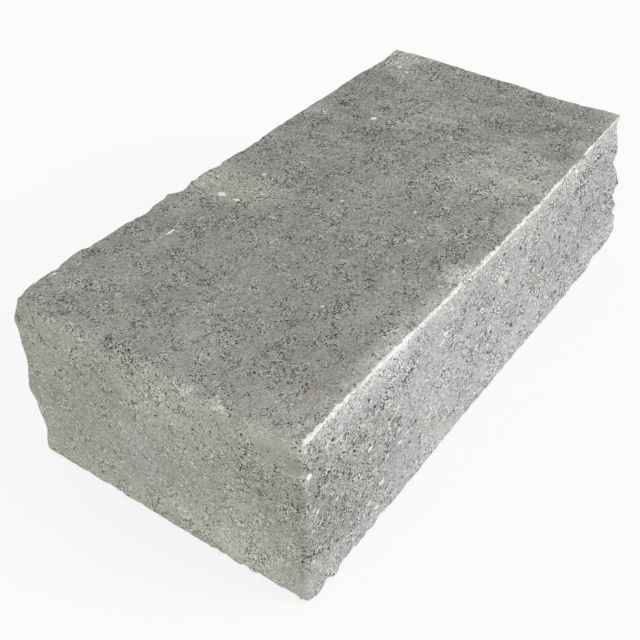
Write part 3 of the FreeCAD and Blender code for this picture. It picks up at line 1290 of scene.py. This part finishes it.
    def build(self) -> bpy.types.Material:
        """Builds the concrete.

        Returns:
            The material, mixed from its skins by the marks that the block's mesh carries.
        """
        material = bpy.data.materials.new("cast_concrete")
        material.use_nodes = True
        board = Board(material.node_tree)
        place = board.scaled(board.add("ShaderNodeTexCoord").outputs["Object"], 1.0 / MM)
        spread = board.noise(place, self.stray_wave, output="Color")
        stray = board.vector("SUBTRACT", spread, (0.5, 0.5, 0.5))
        drift = board.math("SUBTRACT", board.noise(place, self.drift_wave, 4, 0.62), 0.5)
        bed = self.border(board, Mark.BED, Mark.NEAR_TOP, drift)
        split = self.border(board, Mark.SPLIT, Mark.NEAR_FRONT, drift)
        ground = Ground(board, place, drift, bed, split)
        skin = board.group(
            self.grit.group(), {"Place": self.flattened(ground, stray), **self.measures(ground)}
        )
        colour = skin.outputs["Colour"]
        for layer in (self.toned, self.streaked, self.fringed, self.broken):
            colour = layer(ground, colour)
        colour = board.mix(self.crushed(ground), colour, self.arris)
        uneven = board.vector("ADD", place, board.scaled(stray, self.stone_stray))
        for stone in self.stones:
            colour = board.mix(self.stone_mask(board, uneven, stone), colour, stone.colour)
        bump = board.add("ShaderNodeBump", {"Height": skin.outputs["Height"], "Distance": MM})
        looks = {
            "Base Color": colour,
            "Roughness": board.ramp(drift, -0.3, 0.3, *self.roughness),
            "Specular IOR Level": self.specular,
            "Normal": bump.outputs["Normal"],
        }
        shader = board.add("ShaderNodeBsdfPrincipled", looks)
        board.add("ShaderNodeOutputMaterial", {"Surface": shader.outputs["BSDF"]})
        return material

    def mark(self, board: Board, mark: Mark) -> Wire:
        """Reads one of the marks that the block's mesh carries.

        Args:
            board: The material's board.
            mark: The mark.

        Returns:
            Its value at each point.
        """
        node = board.add("ShaderNodeAttribute")
        node.attribute_name = mark.value
        return node.outputs["Fac"]

    def border(self, board: Board, lead: Mark, soft: Mark, drift: Wire) -> Wire:
        """Share of one kind of face, with a border that is crisp but for one soft, ragged arris.

        Args:
            board: The material's board.
            lead: The mark that tells how far a point lies inside the faces of that kind.
            soft: The distance from the arris where the border is soft.
            drift: Slow noise about 0.

        Returns:
            The share, from 0 to 1.
        """
        away = self.mark(board, soft)
        ragged, width, back = (board.ramp(away, *self.soft_band, *pair) for pair in self.soft_border)
        inside = board.math("SUBTRACT", self.mark(board, lead), back)
        shifted = board.math("ADD", inside, board.times(drift, ragged))
        return board.ramp(shifted, board.times(width, -1.0), width)

    def measures(self, on: Ground) -> dict[str, Wire]:
        """Mixes the measures of the three skins, opens them by the near end and calms the rubbed patches.

        Args:
            on: What the concrete is drawn on.

        Returns:
            Each measure by the name of its socket.
        """
        board = on.board
        mixed = {}
        for field in fields(Skin):
            mould, bed, split = (getattr(skin, field.name) for skin in (self.mould, self.bed, self.split))
            mix = board.mix if field.type is Colour else board.blend
            mixed[Skin.label(field.name)] = mix(on.split, mix(on.bed, mould, bed), split)
        along = board.part(on.place, "X")
        edge = board.ramp(self.mark(board, Mark.NEAR_TOP), 16.0, 5.0, 0.0, self.edge_gap)
        mixed["Gap"] = board.math("ADD", mixed["Gap"], board.times(edge, on.bed))
        near = board.times(board.ramp(along, -70.0, -120.0), on.split)
        for name, rise in self.near_rises:
            mixed[name] = board.math("ADD", mixed[name], board.times(near, rise))
        left = board.ramp(self.mark(board, Mark.FRONT_TOP), 3.0, 11.0, self.line_calm, 1.0)
        left = board.times(left, board.ramp(along, -150.0, 150.0, *self.end_grain))
        for calm in self.calms:
            away = self.distance(board, on.place, calm.place, calm.reach)
            left = board.times(left, board.ramp(away, 0.5, 1.0, calm.left, 1.0))
        for name in ("Gap", "Grain"):
            mixed[name] = board.times(mixed[name], left)
        return mixed

    def flattened(self, on: Ground, stray: Wire) -> Wire:
        """Finds where the skin is read: a little astray, and drawn out along the split face's far part.

        Args:
            on: What the concrete is drawn on.
            stray: Quick noise about 0, along each axis.

        Returns:
            The place, in millimetres.
        """
        board = on.board
        place = board.vector("ADD", on.place, board.scaled(stray, self.skin_stray))
        ahead = board.math("SUBTRACT", board.part(on.place, "X"), self.flat_from)
        past = board.math("MAXIMUM", ahead, 0.0)
        on_split = board.math("GREATER_THAN", on.split, 0.5)
        back = board.times(past, past, board.times(on_split, self.flatten))
        drawn = board.add("ShaderNodeCombineXYZ", {"X": back})
        return board.vector("SUBTRACT", place, drawn.outputs["Vector"])

    def toned(self, on: Ground, colour: Wire) -> Wire:
        """Lays the soft patches and the torn ones of the fringe over the concrete, and paints bounce light
        on the foot.

        Args:
            on: What the concrete is drawn on.
            colour: The concrete's colour.

        Returns:
            The patched colour.
        """
        board = on.board
        frayed = board.times(on.drift, 0.9)
        torn = board.times(board.math("SUBTRACT", board.noise(on.place, 3, 4, 0.7), 0.5), 3.0)
        for tones, border, start, stop in ((self.tones, frayed, 1.0, 0.3), (self.fringe, torn, 0.9, 0.65)):
            for tone in tones:
                away = board.math("ADD", self.distance(board, on.place, tone.place, tone.reach), border)
                gain = board.mix(board.ramp(away, start, stop), WHITE, (*tone.gain, 1.0))
                colour = board.vector("MULTIPLY", colour, gain)
        # painted bounce light: the colour is lifted towards the foot of every face, in place of light from
        # the floor
        return board.scaled(colour, board.ramp(board.part(on.place, "Z"), 30.0, 4.0, 1.0, self.foot_gain))

    def streaked(self, on: Ground, colour: Wire) -> Wire:
        """Lays the press's streaks across the beds, which grow stronger towards the far end.

        Args:
            on: What the concrete is drawn on.
            colour: The concrete's colour.

        Returns:
            The streaked colour.
        """
        board = on.board
        across = board.vector("MULTIPLY", on.place, self.streak_stretch)
        streak = board.ramp(board.noise(across, self.streak_wave, 3, 0.6), 0.34, 0.66, *self.streak_gain)
        share = board.times(on.bed, board.ramp(board.part(on.place, "X"), -40.0, 50.0, 0.35, 1.0))
        return board.scaled(colour, board.blend(share, 1.0, streak))

    def fringed(self, on: Ground, colour: Wire) -> Wire:
        """Lays pale rubbed spots along the near top arris, and a paler strip beside the front top one.

        Args:
            on: What the concrete is drawn on.
            colour: The concrete's colour.

        Returns:
            The fringed colour.
        """
        board = on.board
        rubbed = board.ramp(board.noise(on.place, 9, 3, 0.6), 0.53, 0.64)
        spots = board.times(rubbed, board.ramp(self.mark(board, Mark.NEAR_TOP), 8.0, 2.0))
        colour = board.scaled(colour, board.blend(spots, 1.0, self.fringe_gain))
        strip = board.ramp(self.mark(board, Mark.FRONT_TOP), 14.0, 1.0, 1.0, self.strip_gain)
        return board.scaled(colour, strip)

    def broken(self, on: Ground, colour: Wire) -> Wire:
        """Paints shade into the hollows and lightens the fresh breaks.

        Args:
            on: What the concrete is drawn on.
            colour: The concrete's colour.

        Returns:
            The colour with its breaks.
        """
        board = on.board
        # painted shade: the pits' hollow mark darkens the colour in place of the shade that falls inside
        # them
        hollow = board.times(self.mark(board, Mark.HOLLOW), 1.0 - self.hollow_gain)
        colour = board.scaled(colour, board.math("SUBTRACT", 1.0, hollow))
        fresh = board.times(self.mark(board, Mark.FRESH), board.ramp(on.drift, -0.15, 0.1, 0.2, 1.0))
        return board.scaled(colour, board.blend(fresh, 1.0, self.fresh_gain))

    def crushed(self, on: Ground) -> Wire:
        """Masks the white crushed line along the front top arris.

        Args:
            on: What the concrete is drawn on.

        Returns:
            The mask, from 0 to 1.
        """
        board = on.board
        width = board.ramp(board.noise(on.place, 4, 4, 0.75), 0.32, 0.68, *self.line_width)
        width = board.times(width, board.ramp(board.part(on.place, "X"), 20.0, 130.0, 1.0, 0.6))
        line = board.ramp(self.mark(board, Mark.FRONT_TOP), width, board.times(width, 0.65))
        crumbly = board.ramp(board.noise(on.place, 1.3, 2, 0.6), 0.36, 0.52, 0.5, 1.0)
        fading = board.ramp(board.noise(on.place, 15, 3, 0.6), 0.36, 0.46, 0.35, 1.0)
        whole = board.times(crumbly, fading)
        for middle in self.line_gaps:
            gap = self.distance(board, on.place, middle, self.line_gap_reach)
            whole = board.times(whole, board.ramp(gap, 0.8, 1.2))
        return board.times(line, whole)

    def distance(self, board: Board, place: Wire, middle: Triple, reach: Triple) -> Wire:
        """Measures the distance from a middle, as a share of a reach along each axis.

        Args:
            board: The material's board.
            place: Where it is measured, in millimetres.
            middle: The middle.
            reach: The reach along X, Y and Z.

        Returns:
            The distance, which is 1 at the reach.
        """
        scale = tuple(1.0 / side for side in reach)
        shift = tuple(-at / side for at, side in zip(middle, reach))
        return board.vector("LENGTH", board.vector("MULTIPLY_ADD", place, scale, shift))

    def stone_mask(self, board: Board, place: Wire, stone: Stone) -> Wire:
        """Masks one bit of stone.

        Args:
            board: The material's board.
            place: Where it is read, in millimetres.
            stone: The bit of stone.

        Returns:
            The mask, from 0 to 1.
        """
        if stone.lean:
            along = board.math("SUBTRACT", board.part(place, "X"), stone.place[0])
            fall = board.add("ShaderNodeCombineXYZ", {"Z": board.times(along, stone.lean)})
            place = board.vector("ADD", place, fall.outputs["Vector"])
        return board.ramp(self.distance(board, place, stone.place, stone.radius), 1.0, 0.75)


@dataclass(frozen=True)
class Lamp:
    """A soft lamp: its place, the point it looks at, its width in metres and its power in watts."""

    name: str
    place: Triple
    aim: Triple
    width: float
    power: float

    def build(self) -> None:
        """Hangs the lamp."""
        light = bpy.data.lights.new(self.name, "AREA")
        light.shape = "DISK"
        light.size = self.width
        light.energy = self.power
        lamp = bpy.data.objects.new(self.name, light)
        lamp.location = self.place
        lamp.rotation_euler = (Vector(self.aim) - Vector(self.place)).to_track_quat("-Z", "Y").to_euler()
        bpy.context.scene.collection.objects.link(lamp)


@dataclass(frozen=True)
class Studio:
    """A plain white floor and surround, with soft lamps at a plain level."""

    floor_half: float = 1.6
    floor_drop: float = 0.4 * MM
    floor_colour: Colour = (0.92, 0.92, 0.92, 1.0)
    floor_glow: float = 0.8
    floor_clear: float = 1.2 * MM
    ambient: float = 0.52
    lamps: tuple[Lamp, ...] = (
        Lamp("front_softbox", (0.45, -1.15, 0.75), (0.0, 0.0, 0.05), 0.9, 10.0),
        Lamp("end_softbox", (-1.2, -0.1, 0.5), (0.0, 0.0, 0.05), 0.9, 5.0),
        Lamp("back_softbox", (0.3, 1.2, 0.8), (0.0, 0.0, 0.05), 1.0, 4.0),
    )

    def build(self) -> None:
        """Lays the floor, lights the surround and hangs the lamps."""
        self.lay_floor()
        self.light_surround()
        for lamp in self.lamps:
            lamp.build()
        bpy.context.scene.view_settings.view_transform = "Standard"

    def shown_directly(self, board: Board) -> Wire:
        """Tells a ray from the camera, or one mirrored or let through, from a ray that lights the block.

        Args:
            board: The board of the floor or the surround.

        Returns:
            1 for a ray that shows the floor or the surround, and 0 for a ray that lights the block.
        """
        path = board.add("ShaderNodeLightPath")
        direct = board.math("MAXIMUM", path.outputs["Is Camera Ray"], path.outputs["Is Glossy Ray"])
        return board.math("MAXIMUM", direct, path.outputs["Is Transmission Ray"])

    def lay_floor(self) -> None:
        """Lays the white floor, which keeps the shadow but is clear from below and under the block."""
        grid = bmesh.new()
        bmesh.ops.create_grid(grid, x_segments=1, y_segments=1, size=self.floor_half)
        bmesh.ops.translate(grid, verts=grid.verts, vec=(0, 0, -self.floor_drop))
        mesh = bpy.data.meshes.new("studio_floor")
        grid.to_mesh(mesh)
        grid.free()
        material = bpy.data.materials.new("white_floor")
        material.use_nodes = True
        board = Board(material.node_tree)
        matt = board.add("ShaderNodeBsdfDiffuse", {"Color": self.floor_colour})
        glow = board.add("ShaderNodeEmission", {"Color": WHITE, "Strength": 1.0})
        share = board.math("MULTIPLY", self.shown_directly(board), self.floor_glow)
        lit = board.add("ShaderNodeMixShader", {"Fac": share})
        board.feed(lit.inputs[1], matt.outputs["BSDF"])
        board.feed(lit.inputs[2], glow.outputs["Emission"])
        path = board.add("ShaderNodeLightPath")
        near = board.math("LESS_THAN", path.outputs["Ray Length"], self.floor_clear)
        under = board.math("MULTIPLY", near, path.outputs["Is Diffuse Ray"])
        behind = board.add("ShaderNodeNewGeometry").outputs["Backfacing"]
        clear = board.add("ShaderNodeMixShader", {"Fac": board.math("MAXIMUM", behind, under)})
        board.feed(clear.inputs[1], lit.outputs["Shader"])
        board.feed(clear.inputs[2], board.add("ShaderNodeBsdfTransparent").outputs["BSDF"])
        board.add("ShaderNodeOutputMaterial", {"Surface": clear.outputs["Shader"]})
        mesh.materials.append(material)
        floor = bpy.data.objects.new("studio_floor", mesh)
        bpy.context.scene.collection.objects.link(floor)
        floor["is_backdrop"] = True

    def light_surround(self) -> None:
        """Lights the block evenly from all round, before a white ground."""
        world = bpy.data.worlds.new("studio")
        world.use_nodes = True
        board = Board(world.node_tree)
        soft = board.add("ShaderNodeBackground", {"Color": WHITE, "Strength": self.ambient})
        white = board.add("ShaderNodeBackground", {"Color": WHITE, "Strength": 1.0})
        either = board.add("ShaderNodeMixShader", {"Fac": self.shown_directly(board)})
        board.feed(either.inputs[1], soft.outputs["Background"])
        board.feed(either.inputs[2], white.outputs["Background"])
        board.add("ShaderNodeOutputWorld", {"Surface": either.outputs["Shader"]})
        bpy.context.scene.world = world


@dataclass(frozen=True)
class PhotoCamera:
    """The camera that took the photograph, as fitted to the block's arrises."""

    eye: Triple = (-0.3327, -0.2169, 0.3319)
    forward: Triple = (0.6253, 0.4608, -0.6298)
    roll_degrees: float = -1.26
    focal_pixels: float = 966.9
    picture_pixels: float = 640.0

    def build(self) -> None:
        """Sets the camera up and makes it the scene's own."""
        data = bpy.data.cameras.new("photo_camera")
        data.lens = self.focal_pixels / self.picture_pixels * data.sensor_width
        data.clip_start = 0.01
        camera = bpy.data.objects.new("photo_camera", data)
        level = Vector(self.forward).to_track_quat("-Z", "Y").to_matrix()
        roll = Matrix.Rotation(math.radians(self.roll_degrees), 3, "Z")
        camera.rotation_euler = (level @ roll).to_euler()
        camera.location = self.eye
        bpy.context.scene.collection.objects.link(camera)
        bpy.context.scene.camera = camera


def write_sizes() -> None:
    """Gathers the CAD model's box and the visual model's box as plain lists."""
    boxes = {"cad": CAD_BOX, "visual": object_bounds()}
    plain = {name: [[float(value) for value in corner] for corner in box] for name, box in boxes.items()}


def main() -> None:
    """Builds the camera, the studio and the block."""
    logging.basicConfig(level=logging.INFO, format="%(name)s: %(message)s")
    PhotoCamera().build()
    Studio().build()
    block = WallBlock().build(ConcreteFinish().build())
    LOG.info("%s: %d points, %d faces", block.name, len(block.data.vertices), len(block.data.polygons))
    write_sizes()


if __name__ == "__main__":
    main()
